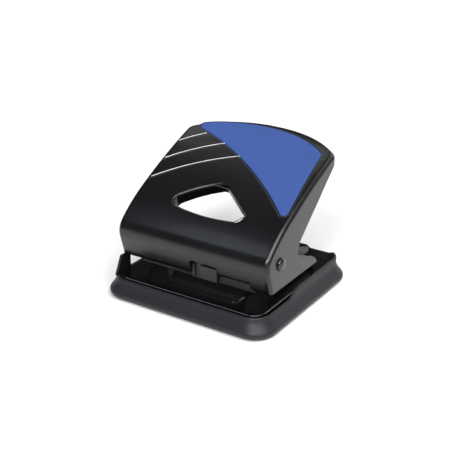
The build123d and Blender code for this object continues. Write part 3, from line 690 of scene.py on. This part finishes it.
# ---- the tray -------------------------------------------------------------------------------
@dataclass
class Tray:
    """The chip tray, its feet and the pin of its hinge."""

    frame: dict
    half_x: float = 67.0
    half_y: float = 62.0
    corner: float = 16.0
    bottom: float = 0.6
    wall: float = 2.0
    top_inset: float = 4.8
    front_top: float = 15.0
    side_top: float = 20.0
    rear_top: float = 17.6
    cover_top: float = 19.6
    cover_half: float = 33.0
    ledge_z: float = 11.7
    ledge_width: float = 4.0
    floor_z: float = 3.0
    gap: Pair = (-54.0, -36.0)
    gap_z: float = 12.7
    gap_blend: float = 0.6
    gap_reach: float = 8.0
    side_rise: Pair = (-21.0, -8.0)
    rear_reach: float = 14.0
    rear_rise: Pair = (16.0, 10.0)
    cover_blend: float = 3.0
    floor_inset: float = 40.0
    corner_least: float = 3.0
    corner_shrink: float = 0.6
    corner_steps: int = 14
    side_steps: int = 60
    shoulder: float = 1.6
    ledge_round: float = 0.3
    flare: tuple[Pair, ...] = ((0.0, 3.2), (1.0, 1.3), (2.6, 0.3), (4.4, 0.0), (6.4, 0.9), (8.6, 2.5),
                               (11.0, 3.8), (13.0, 4.5), (14.6, 4.8))
    rim: tuple[Pair, ...] = ((0.0, 0.0), (0.12, 0.35), (0.4, 0.75), (0.8, 0.97), (1.2, 0.97), (1.6, 0.75),
                             (1.88, 0.35), (2.0, 0.0))
    rim_drop: float = 1.0
    cove: tuple[Pair, ...] = ((0.0, 1.5), (0.5, 0.4), (1.6, 0.0))
    hinge: Pair = (52.4, 16.6)
    knuckle: float = 2.4
    lugs: tuple[Pair, ...] = ((0.0, 15.0), (-31.0, 2.5), (31.0, 2.5))
    lug_back: float = 56.2
    lug_drop: float = 2.3
    lug_rise: float = 0.4
    foot_r: float = 6.0
    foot_height: float = 1.2
    foot_steps: int = 48
    foot_grooves: tuple[float, ...] = (1.6, 3.2, 4.6)
    groove_profile: tuple[Pair, ...] = ((-0.3, 0.0), (-0.15, 0.25), (0.15, 0.25), (0.3, 0.0))

    def rim_top(self, x: float, y: float) -> float:
        """Work out the height of the rim.

        Args:
            x: place across.
            y: place from front to back.

        Returns:
            The height, in millimetres.
        """
        if y > self.half_y - self.rear_reach:
            across = smooth_step(abs(x), self.half_x - self.rear_rise[0], self.half_x - self.rear_rise[1])
            cover = 1 - smooth_step(abs(x), self.cover_half, self.cover_half + self.cover_blend)
            low = self.rear_top + (self.cover_top - self.rear_top) * cover
            return low + (self.side_top - low) * across
        top = self.front_top + (self.side_top - self.front_top) * smooth_step(y, *self.side_rise)
        if x < 0 and self.half_x + x < self.gap_reach:
            opening = smooth_step(y, self.gap[0] - self.gap_blend, self.gap[0])
            closing = smooth_step(y, self.gap[1], self.gap[1] + self.gap_blend)
            top += (self.gap_z - top) * (opening * (1 - closing))
        return top

    def skirt(self) -> bpy.types.Object:
        """Build the tray's shell: flared skirt, rounded rim, inner wall, ledge, floor and hinge lugs.

        Returns:
            The shell.
        """
        inner, soft, width = self.top_inset + self.wall, self.ledge_round, self.ledge_width
        rings: list[list[Point]] = []

        def ring(inset: float, height: Callable[[float, float], float]) -> None:
            """Add a ring to the stack.

            Args:
                inset: how far it stands in from the widest outline.
                height: its height at a place (x, y).
            """
            corner = max(self.corner_least, self.corner - inset * self.corner_shrink)
            walk = rounded_rectangle(self.half_x - inset, self.half_y - inset, corner,
                                     self.corner_steps, self.side_steps)
            rings.append([(x, y, height(x, y)) for x, y in walk])

        ring(self.floor_inset, lambda x, y: self.bottom)
        for height, inset in smooth_line(self.flare, 3):
            ring(inset, lambda x, y, h=height: self.bottom + min(h, self.rim_top(x, y) - self.shoulder))
        for inward, rise in self.rim:
            ring(self.top_inset + inward, lambda x, y, r=rise: self.rim_top(x, y) - self.rim_drop + r)
        for inset, rise in ((0.0, soft), (soft, 0.0), (width - soft, 0.0), (width, -soft)):
            ring(inner + inset, lambda x, y, r=rise: self.ledge_z + r)
        for inset, rise in self.cove:
            ring(inner + width + inset, lambda x, y, r=rise: self.floor_z + r)
        solids = [stack(rings)]
        for centre, half in self.lugs:
            barrel = [(self.hinge[0] + self.knuckle * math.cos(a), self.hinge[1] + self.knuckle * math.sin(a))
                      for a in (math.radians(d) for d in range(75, 285, 10))]
            barrel += [(self.lug_back, self.hinge[1] - self.knuckle - self.lug_drop),
                       (self.lug_back, self.hinge[1] + self.lug_rise)]
            solids.append(prism(barrel, centre - half, centre + half))
        mesh = mesh_from_faces("tray_skirt", *join(solids), sharp_deg=50)
        piece = piece_from_mesh("tray_skirt", mesh, CHARCOAL)
        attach(piece, "tray")
        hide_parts("base_tray")
        return piece

    def feet(self) -> bpy.types.Object:
        """Set a ribbed rubber disc at each corner.

        Returns:
            The four feet in one piece.
        """
        radius, edge = self.foot_r, 0.3
        profile = [(0.0, 0.0)]
        for groove in self.foot_grooves:
            profile += [(groove + out, up) for out, up in self.groove_profile]
        profile += [(radius - edge, 0.0), (radius, edge), (radius, self.foot_height), (0.0, self.foot_height)]
        disc = mesh_from_faces("foot_disc", *revolve(profile, self.foot_steps), sharp_deg=50)
        low, high = (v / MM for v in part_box("rubber_feet"))
        spots = [(x, y, 0.0) for x in (low.x + radius, high.x - radius)
                 for y in (low.y + radius, high.y - radius)]
        piece = scatter("ribbed_feet", spots, disc, RUBBER)
        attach(piece, "tray")
        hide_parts("rubber_feet")
        return piece

    def build(self) -> list[bpy.types.Object]:
        """Build the tray's pieces and dress its pin."""
        dress("hinge_pin", self.frame, TURNED_STEEL)
        return [self.skirt(), self.feet()]


# ---- the chassis ----------------------------------------------------------------------------
def spring_coil(name: str, node: str, body: str, turns: float, radius: float,
                keep: float) -> bpy.types.Object:
    """Wind a conical spring with closed ends in a CAD spring's place.

    Args:
        name: the piece's name.
        node: the CAD spring.
        body: the body it rides on.
        turns: how many turns it has.
        radius: the wire's radius in millimetres.
        keep: the share of its height left at the end of the stroke; not used.

    Returns:
        The spring.
    """
    low, high = (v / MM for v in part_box(node))
    centre = (low + high) / 2
    reach = (high.x - low.x) / 2 - radius
    steps, narrowing = 220, 0.24
    closed, closed_slope, drop = 0.22, 0.89, 0.02      # the closed end's share of the wire, and its rise
    line = []
    for i in range(steps + 1):
        share = i / steps
        angle = 2 * math.pi * turns * share
        lift = share - drop
        if share < closed:
            lift = smooth_step(share, 0.0, closed) * 0.5 * closed
            lift += max(0.0, share - closed / 2) * closed_slope
        taper = reach * (1 - narrowing * share)
        line.append((centre.x + taper * math.cos(angle), centre.y + taper * math.sin(angle),
                     low.z + radius + (high.z - low.z - 2 * radius) * min(1.0, max(0.0, lift))))
    piece = bead(name, points_mesh(name, line, False), radius, SPRING_STEEL)
    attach(piece, body)
    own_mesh(piece)
    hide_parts(node)
    return piece


@dataclass
class Chassis:
    """The plate, its two punch frames and what is fixed to them."""

    frame: dict
    plate_top: float = 16.0
    cover: tuple[float, float, float, float] = (-22.0, 36.4, -47.2, -34.4)
    cover_levels: tuple[Pair, ...] = ((0.0, -0.05), (0.5, 0.18), (1.2, 0.45), (2.2, 0.72), (3.4, 0.88),
                                      (4.6, 0.95))
    cover_nose: float = 1.5
    cover_chamfer: float = 0.6
    cover_end_slope: float = 0.35
    edge_inset: float = 0.45
    edge_corner: float = 10.0
    edge_back: float = 30.0
    edge_r: float = 0.22
    screw_r: float = 3.0
    screw_height: float = 1.8
    screw_rim: float = 0.5
    screw_shank: float = 1.6
    screw_depth: float = 2.8
    recess_depth: float = 0.9
    spring_turns: float = 3.4
    spring_wire: float = 0.4
    spring_keep: float = 0.2

    def screws(self) -> bpy.types.Object:
        """Set a domed screw with a round recess through each frame's foot.

        Returns:
            Both screws in one piece.
        """
        shank, rim, top = self.screw_shank, self.screw_rim, self.screw_height
        profile = [(0.0, -self.screw_depth), (shank, -self.screw_depth), (shank, 0.0), (self.screw_r, 0.0),
                   (self.screw_r, rim)]
        profile += [(self.screw_r * math.cos(a), rim + (top - rim) * math.sin(a))
                    for a in (math.radians(d) for d in range(15, 80, 12))]
        profile += [(0.9, top), (0.75, top - self.recess_depth), (0.0, top - self.recess_depth)]
        head = mesh_from_faces("screw_head", *revolve(profile, 40), sharp_deg=45)
        low, high = (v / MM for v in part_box("frame_screws"))
        y, z = (low.y + high.y) / 2, high.z - top
        places = [(x, y, z) for x in (low.x + self.screw_r, high.x - self.screw_r)]
        piece = scatter("frame_screw_heads", places, head, ZINC)
        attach(piece, "chassis")
        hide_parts("frame_screws")
        return piece

    def guide_cover(self) -> bpy.types.Object:
        """Build the soft raised cover over the guide bar, with a round left end and a square right one.

        Returns:
            The cover.
        """
        left, right, front, back = self.cover
        middle, deep, cut = (front + back) / 2, (back - front) / 2, self.cover_chamfer
        start = left + deep
        rings = []
        for inset, rise in self.cover_levels:
            half, end, z = deep - inset, right - inset * self.cover_end_slope, self.plate_top + rise
            nose = [(start - half * math.sin(a) * self.cover_nose, middle + half * math.cos(a), z)
                    for a in (math.pi * step / 24 for step in range(25))]
            rings.append(nose + [(end - cut, middle - half, z), (end, middle - half + cut, z),
                                 (end, middle + half - cut, z), (end - cut, middle + half, z)])
        mesh = mesh_from_faces("guide_cover", *stack(rings), sharp_deg=50)
        piece = piece_from_mesh("guide_cover", mesh, COVER_BLACK)
        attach(piece, "chassis")
        return piece

    def plate_edge(self) -> bpy.types.Object:
        """Run a thin bead along the plate's front and right side, in lighter paint as a painted highlight of
        its edge.

        Returns:
            The painted highlight bead.
        """
        low, high = (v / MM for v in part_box("base_plate"))
        inset, corner, steps = self.edge_inset, self.edge_corner, 16
        left, right, front, z = low.x + inset, high.x - inset, low.y + inset, self.plate_top - inset
        line = [(left + corner * (1 - math.sin(a)), front + corner * (1 - math.cos(a)), z)
                for a in (math.pi / 2 * (1 - step / steps) for step in range(steps // 2, steps + 1))]
        line += [(right - corner * (1 - math.sin(a)), front + corner * (1 - math.cos(a)), z)
                 for a in (math.pi / 2 * step / steps for step in range(steps + 1))]
        line.append((right, self.edge_back, z))
        # The bead's lighter paint is a painted highlight of the plate's edge.
        piece = bead("plate_rubbed_edge", points_mesh("plate_line", line, False), self.edge_r, PAINTED_HIGHLIGHT_SOFT)
        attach(piece, "chassis")
        return piece

    def build(self) -> list[bpy.types.Object]:
        """Dress the chassis and build its springs, screws and softened sheet parts.

        Returns:
            The pieces.
        """
        plate = bevelled_copy("base_plate", "deck_plate", self.frame, PLATE_BLACK, 0.25, 2)
        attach(plate, "chassis")
        made = [plate, self.plate_edge(), self.guide_cover(), self.screws()]
        for node in ("frame_left", "frame_right", "paper_stop", "latch_track"):
            piece = bevelled_copy(node, node + "_sheet", self.frame, SATIN_BLACK, 0.3, 2)
            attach(piece, "chassis")
            made.append(piece)
        for side in ("left", "right"):
            dress("die_" + side, self.frame, BRIGHT_STEEL)
            dress("guide_block_" + side, self.frame, BRIGHT_STEEL)
            dress("washer_" + side, self.frame, TURNED_STEEL)
            made.append(spring_coil(f"spring_coil_{side}", f"spring_{side}", "chassis",
                                    self.spring_turns, self.spring_wire,
                                    self.spring_keep))
        return made


# ---- the handle -----------------------------------------------------------------------------
@dataclass(frozen=True)
class FaceLine:
    """The lever's front face seen from the side: a strip and four arcs, each tangent to the next."""

    lip: Pair = (-44.3, 30.9)
    strip: Pair = (11.6, 106.0)
    arcs: tuple[Pair, ...] = ((13.0, 44.0), (106.0, 30.0), (420.0, 20.0), (66.0, 2.0))
    tail: float = 8.0

    def points(self) -> list[Pair]:
        """Walk the line from the foremost point upwards.

        Returns:
            Places (y, z) in millimetres, with y rising.
        """
        y, z = self.lip
        length, angle = self.strip
        y += length * math.cos(math.radians(angle))
        z += length * math.sin(math.radians(angle))
        line = [(y, z)]
        for radius, end in self.arcs:
            turn = angle - end
            steps = 40
            for step in range(steps):
                middle = math.radians(angle - turn * (step + 0.5) / steps)
                arc = math.radians(turn / steps) * radius
                y, z = y + arc * math.cos(middle), z + arc * math.sin(middle)
                line.append((y, z))
            angle = end
        last = math.radians(angle)
        line.append((y + self.tail * math.cos(last), z + self.tail * math.sin(last)))
        lowest = min(range(len(line)), key=lambda i: line[i][0])
        return line[lowest:]

    def height(self, y: float) -> float:
        """Work out the height of the face.

        Args:
            y: place from front to back.

        Returns:
            The height, in millimetres.
        """
        line = self.points()
        for (y0, z0), (y1, z1) in zip(line, line[1:]):
            if y <= y1:
                return z0 + (z1 - z0) * (y - y0) / (y1 - y0)
        return line[-1][1]


def arc_through(start: Pair, middle: Pair, end: Pair, steps: int) -> list[tuple[Pair, Pair]]:
    """Walk an arc through three points.

    Args:
        start: its first point.
        middle: a point on it.
        end: its last point.
        steps: how many steps it has.

    Returns:
        Each place, with the unit direction from the arc's centre through it.
    """
    (ax, ay), (bx, by), (cx, cy) = start, middle, end
    twice = 2 * (ax * (by - cy) + bx * (cy - ay) + cx * (ay - by))
    sa, sb, sc = ax * ax + ay * ay, bx * bx + by * by, cx * cx + cy * cy
    ox = (sa * (by - cy) + sb * (cy - ay) + sc * (ay - by)) / twice
    oy = (sa * (cx - bx) + sb * (ax - cx) + sc * (bx - ax)) / twice
    radius = math.hypot(ax - ox, ay - oy)
    first, last = math.atan2(ay - oy, ax - ox), math.atan2(cy - oy, cx - ox)
    sweep = (last - first + math.pi) % (2 * math.pi) - math.pi
    walk = []
    for step in range(steps + 1):
        angle = first + sweep * step / steps
        out = (math.cos(angle), math.sin(angle))
        walk.append(((ox + radius * out[0], oy + radius * out[1]), out))
    return walk


@dataclass
class Handle:
    """The pressed lever with its grip inlay, rod, caps and yoke."""

    frame: dict
    cap_r: float = 4.6
    cap_height: float = 2.6
    cap_rim: float = 0.5
    pivot: Pair = (-31.6, 45.6)
    face: FaceLine = FaceLine()
    grooves: tuple[tuple[Pair, Pair, Pair], ...] = (((-62.0, 18.0), (-52.0, 27.3), (-41.5, 35.0)),
                                                   ((-62.0, 0.0), (-43.0, 15.8), (-20.8, 28.8)),
                                                   ((-62.0, -17.5), (-34.0, 3.8), (-2.6, 19.8)))
    groove_half: float = 0.75
    groove_sink: float = 0.12
    hole_origin: Pair = (-20.0, 72.46)
    hole_tilt: float = 29.5
    hole_corners: tuple[Pair, Pair, Pair] = ((-33.0, -7.8), (35.2, -9.4), (0.5, 17.4))
    hole_bows: tuple[Pair, Pair, Pair] = ((2.0, -12.4), (19.0, 3.0), (-15.0, 8.8))
    lip_out: float = 0.75
    lip_drop: float = 0.35
    lip_trim: int = 7
    lip_r: float = 0.3
    left_edge: float = -58.0
    inlay_gap: float = 0.35
    border_out: float = 0.75
    border_sink: float = 0.2
    border_r: float = 0.34

    def groove_edges(self) -> list[bpy.types.Object]:
        """Run a fine round bead along both sides of each groove, painted as a highlight of the groove's
        edges: bright above and dim below.

        Returns:
            The six painted highlight beads.
        """
        made = []
        for number, (start, middle, end) in enumerate(self.grooves, 1):
            # Both beads are painted highlights: the upper one bright, the lower one dim.
            for side, radius, finish, name in ((1, 0.3, PAINTED_HIGHLIGHT_BRIGHT, "upper"), (-1, 0.2, PAINTED_HIGHLIGHT_DIM, "lower")):
                line = []
                for (x, y), out in arc_through(start, middle, end, 60):
                    shift = (side if out[1] > 0 else -side) * self.groove_half
                    x, y = x + out[0] * shift, y + out[1] * shift
                    if x > self.left_edge:
                        line.append((x, y, self.face.height(y) - self.groove_sink))
                piece = bead(f"groove_{number}_{name}_edge", points_mesh("groove_line", line, False),
                             radius, finish)
                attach(piece, "handle")
                made.append(piece)
        return made

    def hole_lip(self) -> bpy.types.Object:
        """Run a fine round bead round the finger hole's lip, in lighter paint as a painted highlight of the
        lip.

        Returns:
            The painted highlight bead.
        """
        tilt = math.radians(self.hole_tilt)
        corners, trim = self.hole_corners, self.lip_trim
        line = []
        for number, bow in enumerate(self.hole_bows):
            for (x, v), _ in arc_through(corners[number], bow, corners[(number + 1) % 3], 40)[trim:-trim]:
                y = self.hole_origin[0] + v * math.cos(tilt)
                line.append((x, y, self.face.height(y) - self.lip_drop))
        centre = Vector((sum(p[0] for p in line), sum(p[1] for p in line), 0)) / len(line)
        grown = []
        for x, y, z in line:
            out = (Vector((x, y, 0)) - centre).normalized() * self.lip_out
            grown.append((x + out.x, y + out.y, z))
        # The lip bead's lighter paint is a painted highlight.
        piece = bead("finger_hole_lip", points_mesh("hole_lip_line", grown, True), self.lip_r, PAINTED_HIGHLIGHT_LIP)
        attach(piece, "handle")
        return piece

    def inlay_border(self) -> bpy.types.Object:
        """Run a raised bead round the grip's recess, following the grip's own upper edge; its dim grey paint
        is a painted highlight of the recess's edge.

        Returns:
            The bead.
        """
        source = bmesh.new()
        source.from_mesh(self.frame["nodes"]["grip_inlay"].data)
        bmesh.ops.remove_doubles(source, verts=source.verts, dist=MERGE_GAP)
        source.normal_update()
        reach = (self.inlay_gap + self.border_out) * MM
        moved: dict[int, list[Vector]] = {}
        pairs = []
        for edge in source.edges:
            if len(edge.link_faces) != 2:
                continue
            top, wall = sorted(edge.link_faces, key=lambda f: -f.normal.z)
            if top.normal.z > 0.4 and abs(wall.normal.z) < 0.1:
                pairs.append([v.index for v in edge.verts])
                outward = Vector((wall.normal.x, wall.normal.y, 0)).normalized()
                for vert in edge.verts:
                    moved.setdefault(vert.index, []).append(outward)
        order = {index: place for place, index in enumerate(moved)}
        source.verts.ensure_lookup_table()
        places = []
        for index, outs in moved.items():
            shifted = source.verts[index].co + sum(outs, Vector()).normalized() * reach
            places.append((shifted.x, shifted.y, (self.face.height(shifted.y / MM) - self.border_sink) * MM))
        source.free()
        line = bpy.data.meshes.new("inlay_border_line")
        line.from_pydata(places, [(order[a], order[b]) for a, b in pairs], [])
        # The raised bead is real; its dim grey paint is a painted highlight.
        piece = bead("inlay_border", line, self.border_r, PAINTED_HIGHLIGHT_DIM)
        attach(piece, "handle")
        return piece

    def rivet(self, side: int, name: str) -> bpy.types.Object:
        """Build a domed rivet head over one end of the pivot rod.

        Args:
            side: -1 for the left end, 1 for the right.
            name: the side's name.

        Returns:
            The rivet head.
        """
        rim = self.cap_rim
        profile = [(0.0, 0.0), (self.cap_r - 0.3, 0.0), (self.cap_r - 0.1, 0.2), (self.cap_r, rim)]
        profile += [(self.cap_r * math.cos(a), rim + (self.cap_height - rim) * math.sin(a))
                    for a in (math.radians(d) for d in range(6, 90, 9))]
        profile += [(0.0, self.cap_height)]
        points, faces = revolve(profile, 48)
        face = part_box("pivot_cap_" + name)
        plane = (face[0].x if side > 0 else face[1].x) / MM
        laid = [(plane + side * z, self.pivot[0] + x, self.pivot[1] + y) for x, y, z in points]
        mesh = mesh_from_faces("rivet_" + name, laid, faces, 45)
        piece = piece_from_mesh("rivet_" + name, mesh, RIVET_BLACK)
        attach(piece, "handle")
        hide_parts("pivot_cap_" + name)
        return piece

    def build(self) -> list[bpy.types.Object]:
        """Build the lever's softened shell, grip, rivets and yoke, and dress its pins.

        Returns:
            The pieces.
        """
        made = []
        for node, name, finish, slot, width in (
                ("handle_shell", "lever_shell", GLOSS_BLACK, "handle", 0.3),
                ("grip_inlay", "grip_pad", SOFT_BLUE, "grip", 0.45),
                ("press_yoke", "yoke_sheet", SATIN_BLACK, "frame", 0.3)):
            piece = bevelled_copy(node, name, self.frame, finish, width)
            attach(piece, "handle")
            made.append(piece)
        made += self.groove_edges()
        made.append(self.hole_lip())
        made.append(self.inlay_border())
        dress("pivot_rod", self.frame, TURNED_STEEL)
        for side, name in ((-1, "left"), (1, "right")):
            dress("link_stud_" + name, self.frame, TURNED_STEEL)
            dress("spacer_" + name, self.frame, TURNED_STEEL)
            made.append(self.rivet(side, name))
        return made


# ---- punches, latch and paper guide ---------------------------------------------------------
@dataclass
class Punches:
    """The two punch pins and their heads."""

    frame: dict

    def build(self) -> list[bpy.types.Object]:
        """Dress the pins and heads.

        Returns:
            Nothing, because the frame's own nodes are shown.
        """
        for side in ("left", "right"):
            dress("punch_pin_" + side, self.frame, BRIGHT_STEEL)
            dress("punch_head_" + side, self.frame, BRIGHT_STEEL)
        return []


@dataclass
class Latch:
    """The sliding lock-down latch."""

    frame: dict

    def build(self) -> list[bpy.types.Object]:
        """Soften the latch's edges.

        Returns:
            The latch.
        """
        body = bevelled_copy("latch_slide", "latch_body", self.frame, LATCH_GREY, 0.4)
        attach(body, "latch")
        return [body]


@dataclass
class PaperGuide:
    """The sliding paper guide: its bar with a plain scale, and its end stop."""

    frame: dict
    tick_step: float = 5.0
    tick_length: float = 3.0
    tick_half: float = 0.2
    tick_heights: Pair = (-0.1, 0.04)
    tick_inset: float = 0.6

    def build(self) -> list[bpy.types.Object]:
        """Print the scale and soften the bar and the end stop.

        Returns:
            The pieces.
        """
        low, high = (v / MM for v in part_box("guide_bar"))
        half, length = self.tick_half, self.tick_length
        mark = ((-half, 0.0), (half, 0.0), (half, length), (-half, length))
        levels = [[(x, y, z) for x, y in mark] for z in self.tick_heights]
        tick = mesh_from_faces("scale_tick", *stack(levels))
        spots = [(low.x + self.tick_step * (i + 1), low.y + self.tick_inset, high.z)
                 for i in range(int((high.x - low.x) / self.tick_step) - 1)]
        ticks = scatter("guide_scale", spots, tick, PRINT_WHITE)
        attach(ticks, "guide")
        made = [ticks]
        for node, name in (("guide_bar", "guide_rule"), ("guide_stop", "guide_end")):
            piece = bevelled_copy(node, name, self.frame, GUIDE_BLACK, 0.3, 2)
            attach(piece, "guide")
            made.append(piece)
        return made


# ---- floor, lights and camera ---------------------------------------------------------------
@dataclass(frozen=True)
class SoftSun:
    """A wide distant lamp."""

    name: str
    towards: Point
    strength: float
    spread_deg: float

    def place(self) -> None:
        """Hang the lamp in its direction."""
        lamp = bpy.data.lights.new(self.name, "SUN")
        lamp.energy = self.strength
        lamp.angle = math.radians(self.spread_deg)
        holder = bpy.data.objects.new(self.name, lamp)
        holder.rotation_euler = Vector(self.towards).to_track_quat("Z", "Y").to_euler()
        bpy.context.scene.collection.objects.link(holder)


@dataclass(frozen=True)
class Glow:
    """A small weak lamp close by, for one soft reflection."""

    name: str
    place: Point
    aim: Point
    size: float
    power: float
    colour: tuple[float, float, float]

    def hang(self) -> None:
        """Hang the lamp at its place, facing its aim."""
        lamp = bpy.data.lights.new(self.name, "AREA")
        lamp.shape = "DISK"
        lamp.size = self.size
        lamp.energy = self.power
        lamp.color = self.colour
        holder = bpy.data.objects.new(self.name, lamp)
        holder.location = self.place
        holder.rotation_euler = (Vector(self.place) - Vector(self.aim)).to_track_quat("Z", "Y").to_euler()
        bpy.context.scene.collection.objects.link(holder)


@dataclass
class Studio:
    """The floor, the soft lights and the camera."""

    eye: Point = (0.3357, -0.517, 0.3114)
    looking: Point = (-0.499, 0.770, -0.397)
    lens: float = 75.0
    floor_half: float = 6.0
    world_grey: float = 0.06
    lamps: tuple[SoftSun, ...] = (
        SoftSun("key_right", (0.55, -0.35, 0.76), 2.9, 50.0),
        SoftSun("front_strip", (0.22, -0.76, 0.6), 1.7, 14.0),
        SoftSun("rear_fill", (0.25, 0.75, 0.6), 1.1, 60.0),
        SoftSun("rear_left_glint", (-0.5, 0.42, 0.75), 0.07, 12.0))
    glow: Glow = Glow("low_glow", (-0.215, -0.235, 0.44), (0.035, -0.035, 0.058), 0.16, 0.12,
                      (0.78, 0.85, 1.0))

    def build(self) -> None:
        """Lay the floor, hang the lamps, set the world and place the camera."""
        paper = Board("floor_paper")
        shader = paper.add("ShaderNodeBsdfPrincipled", {}, {
            "Base Color": (0.94, 0.94, 0.94, 1), "Roughness": 0.95, "Specular IOR Level": 0.1})
        paper.add("ShaderNodeOutputMaterial", {}, {"Surface": shader})
        mesh = bpy.data.meshes.new("floor")
        h = self.floor_half
        mesh.from_pydata([(-h, -h, 0), (h, -h, 0), (h, h, 0), (-h, h, 0)], [], [(0, 1, 2, 3)])
        mesh.materials.append(paper.material)
        floor = bpy.data.objects.new("floor", mesh)
        bpy.context.scene.collection.objects.link(floor)
        world = bpy.data.worlds.new("studio")
        world.use_nodes = True
        world.node_tree.nodes["Background"].inputs["Color"].default_value = (*[self.world_grey] * 3, 1)
        bpy.context.scene.world = world
        for lamp in self.lamps:
            lamp.place()
        self.glow.hang()
        bpy.context.scene.view_settings.view_transform = "Standard"
        lens = bpy.data.cameras.new("camera")
        lens.lens = self.lens
        lens.sensor_width = 36.0
        lens.clip_start = 0.01
        camera = bpy.data.objects.new("camera", lens)
        camera.location = self.eye
        camera.rotation_euler = Vector(self.looking).to_track_quat("-Z", "Y").to_euler()
        bpy.context.scene.collection.objects.link(camera)
        bpy.context.scene.camera = camera


def main() -> None:
    """Load the frame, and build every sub-assembly."""
    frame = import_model()
    Studio().build()
    for kind in (Tray, Chassis, Handle, Punches, Latch, PaperGuide):
        for piece in kind(frame).build():
            log.info("%s: %s, %d faces", kind.__name__, piece.name, len(piece.data.polygons))


if __name__ == "__main__":
    logging.basicConfig(level=logging.INFO, format="%(name)s %(message)s")
    main()
